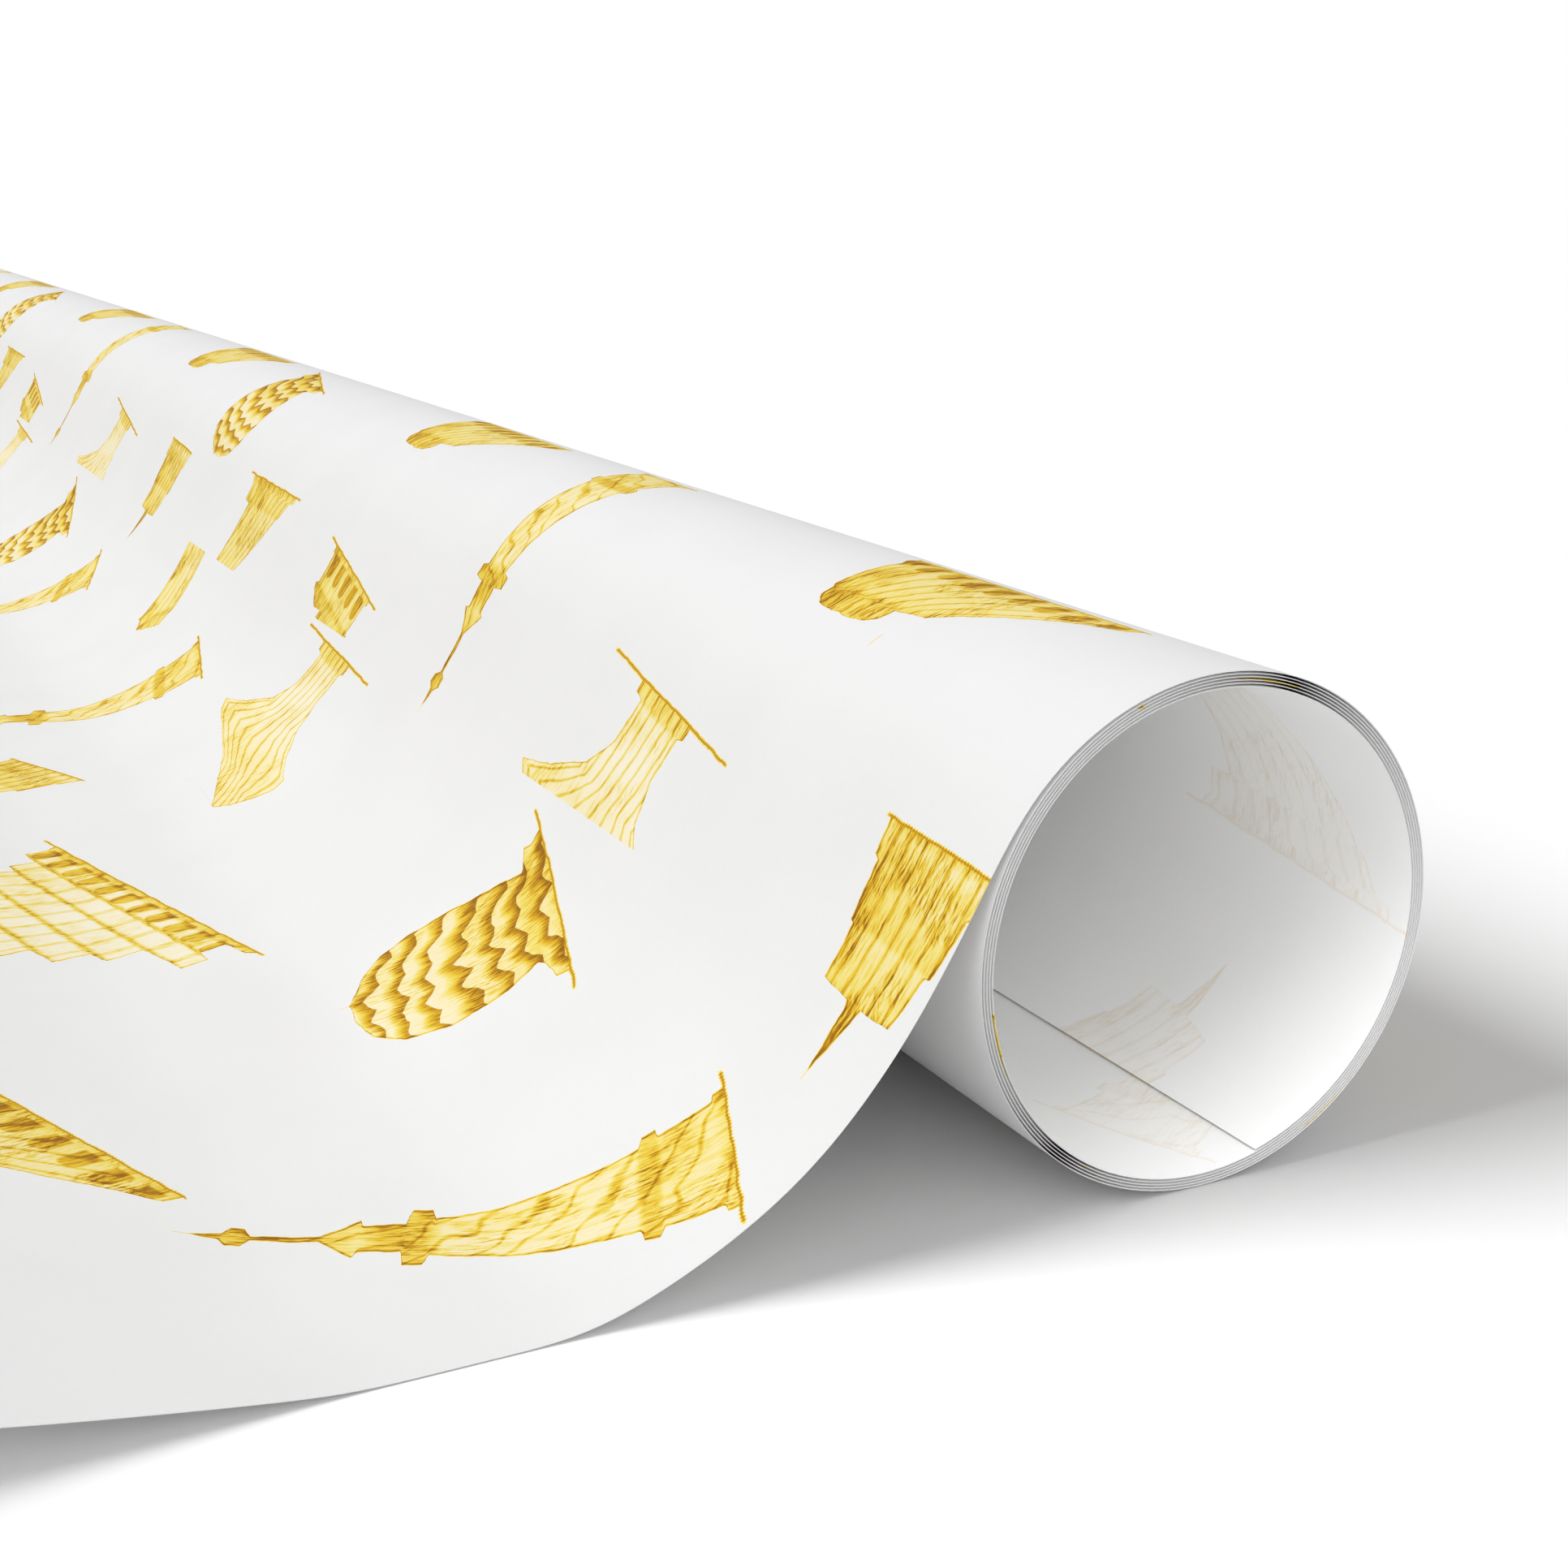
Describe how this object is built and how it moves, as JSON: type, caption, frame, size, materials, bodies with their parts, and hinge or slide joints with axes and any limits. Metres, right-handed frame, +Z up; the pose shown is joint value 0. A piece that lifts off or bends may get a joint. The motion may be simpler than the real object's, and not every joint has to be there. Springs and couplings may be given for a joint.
{
  "type": "wrapping paper roll",
  "caption": "Coreless roll of printed gift wrap, one loosely wound sheet with its outer end unrolled as a flap that lands on the table and curls up again.",
  "frame": {"origin": "on the table, under the middle of the object's bounding box", "axes": "+Z up; +Y along the roll's axis, from the end shown in the view to the far end; +X from the flap's free edge towards the roll"},
  "size_m": [0.1711, 0.762, 0.0448],
  "materials": {
    "printed_paper": "uncoated matte white with an ochre and gold line print on the outer side",
    "wound_paper": "uncoated matte white back, the print showing through faintly"
  },
  "bodies": {
    "outer_turn": {"outer_turn": "printed_paper"},
    "second_turn": {"second_turn": "wound_paper"},
    "third_turn": {"third_turn": "wound_paper"},
    "fourth_turn": {"fourth_turn": "wound_paper"},
    "fifth_turn": {"fifth_turn": "wound_paper"},
    "inner_half_turn": {"inner_half_turn": "wound_paper"},
    "inner_edge_strip": {"inner_edge_strip": "wound_paper"},
    "inner_lip": {"inner_lip": "wound_paper"},
    "crest_strip": {"crest_strip": "printed_paper"},
    "shoulder_strip": {"shoulder_strip": "printed_paper"},
    "upper_fall_strip": {"upper_fall_strip": "printed_paper"},
    "middle_fall_strip": {"middle_fall_strip": "printed_paper"},
    "lower_fall_strip": {"lower_fall_strip": "printed_paper"},
    "heel_strip": {"heel_strip": "printed_paper"},
    "landing_strip": {"landing_strip": "printed_paper"},
    "toe_strip": {"toe_strip": "printed_paper"},
    "lower_tail_strip": {"lower_tail_strip": "printed_paper"},
    "middle_tail_strip": {"middle_tail_strip": "printed_paper"},
    "upper_tail_strip": {"upper_tail_strip": "printed_paper"},
    "free_edge_strip": {"free_edge_strip": "printed_paper"}
  },
  "joints": [
    {"name": "second_turn_slide", "type": "slide", "parent": "outer_turn", "child": "second_turn", "axis": [0, -1, 0], "range_m": [-0.006, 0.006]},
    {"name": "third_turn_slide", "type": "slide", "parent": "second_turn", "child": "third_turn", "axis": [0, -1, 0], "range_m": [-0.006, 0.006]},
    {"name": "fourth_turn_slide", "type": "slide", "parent": "third_turn", "child": "fourth_turn", "axis": [0, -1, 0], "range_m": [-0.006, 0.006]},
    {"name": "fifth_turn_slide", "type": "slide", "parent": "fourth_turn", "child": "fifth_turn", "axis": [0, -1, 0], "range_m": [-0.006, 0.006]},
    {"name": "inner_half_turn_slide", "type": "slide", "parent": "fifth_turn", "child": "inner_half_turn", "axis": [0, -1, 0], "range_m": [-0.006, 0.006]},
    {"name": "inner_edge_flex", "type": "hinge", "parent": "inner_half_turn", "child": "inner_edge_strip", "pos_m": [0.08051, 0, 0.01059], "axis": [0, 1, 0], "range_deg": [0, 18], "stiffness_Nm_per_rad": 0.05},
    {"name": "inner_lip_flex", "type": "hinge", "parent": "inner_edge_strip", "child": "inner_lip", "pos_m": [0.07543, 0, 0.00534], "axis": [0, 1, 0], "range_deg": [0, 18], "stiffness_Nm_per_rad": 0.05},
    {"name": "flap_lift", "type": "hinge", "parent": "outer_turn", "child": "crest_strip", "pos_m": [0.05811, 0, 0.04424], "axis": [0, 1, 0], "range_deg": [0, 22], "stiffness_Nm_per_rad": 0.02},
    {"name": "shoulder_bend", "type": "hinge", "parent": "crest_strip", "child": "shoulder_strip", "pos_m": [0.04754, 0, 0.03884], "axis": [0, 1, 0], "range_deg": [0, 24.25], "stiffness_Nm_per_rad": 0.02},
    {"name": "upper_fall_bend", "type": "hinge", "parent": "shoulder_strip", "child": "upper_fall_strip", "pos_m": [0.04058, 0, 0.02914], "axis": [0, 1, 0], "range_deg": [0, 3.13], "stiffness_Nm_per_rad": 0.02},
    {"name": "middle_fall_bend", "type": "hinge", "parent": "upper_fall_strip", "child": "middle_fall_strip", "pos_m": [0.03428, 0, 0.01893], "axis": [0, 1, 0], "range_deg": [-10.83, 0], "stiffness_Nm_per_rad": 0.02},
    {"name": "lower_fall_bend", "type": "hinge", "parent": "middle_fall_strip", "child": "lower_fall_strip", "pos_m": [0.02554, 0, 0.00936], "axis": [0, 1, 0], "range_deg": [-15.89, 0], "stiffness_Nm_per_rad": 0.02},
    {"name": "heel_bend", "type": "hinge", "parent": "lower_fall_strip", "child": "heel_strip", "pos_m": [0.0144, 0, 0.00275], "axis": [0, 1, 0], "range_deg": [-16.33, 0], "stiffness_Nm_per_rad": 0.02},
    {"name": "landing_bend", "type": "hinge", "parent": "heel_strip", "child": "landing_strip", "pos_m": [0.0023, 0, 0.00008], "axis": [0, 1, 0], "range_deg": [-10.39, 0], "stiffness_Nm_per_rad": 0.02},
    {"name": "tail_curl", "type": "hinge", "parent": "landing_strip", "child": "toe_strip", "pos_m": [-0.0057, 0, 0.00008], "axis": [0, 1, 0], "range_deg": [-4, 14], "stiffness_Nm_per_rad": 0.05},
    {"name": "lower_tail_bend", "type": "hinge", "parent": "toe_strip", "child": "lower_tail_strip", "pos_m": [-0.0211, 0, 0.00168], "axis": [0, 1, 0], "range_deg": [-3.5, 11.5], "stiffness_Nm_per_rad": 0.05},
    {"name": "middle_tail_bend", "type": "hinge", "parent": "lower_tail_strip", "child": "middle_tail_strip", "pos_m": [-0.03684, 0, 0.00455], "axis": [0, 1, 0], "range_deg": [-3.5, 11.5], "stiffness_Nm_per_rad": 0.05},
    {"name": "upper_tail_bend", "type": "hinge", "parent": "middle_tail_strip", "child": "upper_tail_strip", "pos_m": [-0.05336, 0, 0.00852], "axis": [0, 1, 0], "range_deg": [-3.5, 11.5], "stiffness_Nm_per_rad": 0.05},
    {"name": "free_edge_bend", "type": "hinge", "parent": "upper_tail_strip", "child": "free_edge_strip", "pos_m": [-0.06963, 0, 0.01346], "axis": [0, 1, 0], "range_deg": [-3.5, 11.5], "stiffness_Nm_per_rad": 0.05}
  ],
  "couplings": [
    {"joint": "third_turn_slide", "follows": "second_turn_slide", "ratio": 1},
    {"joint": "fourth_turn_slide", "follows": "second_turn_slide", "ratio": 1},
    {"joint": "fifth_turn_slide", "follows": "second_turn_slide", "ratio": 1},
    {"joint": "inner_half_turn_slide", "follows": "second_turn_slide", "ratio": 1},
    {"joint": "inner_lip_flex", "follows": "inner_edge_flex", "ratio": 1},
    {"joint": "shoulder_bend", "follows": "flap_lift", "ratio": 1.1},
    {"joint": "upper_fall_bend", "follows": "flap_lift", "ratio": 0.14},
    {"joint": "middle_fall_bend", "follows": "flap_lift", "ratio": -0.49},
    {"joint": "lower_fall_bend", "follows": "flap_lift", "ratio": -0.72},
    {"joint": "heel_bend", "follows": "flap_lift", "ratio": -0.74},
    {"joint": "landing_bend", "follows": "flap_lift", "ratio": -0.47},
    {"joint": "lower_tail_bend", "follows": "tail_curl", "ratio": 0.8},
    {"joint": "middle_tail_bend", "follows": "tail_curl", "ratio": 0.8},
    {"joint": "upper_tail_bend", "follows": "tail_curl", "ratio": 0.8},
    {"joint": "free_edge_bend", "follows": "tail_curl", "ratio": 0.8}
  ]
}
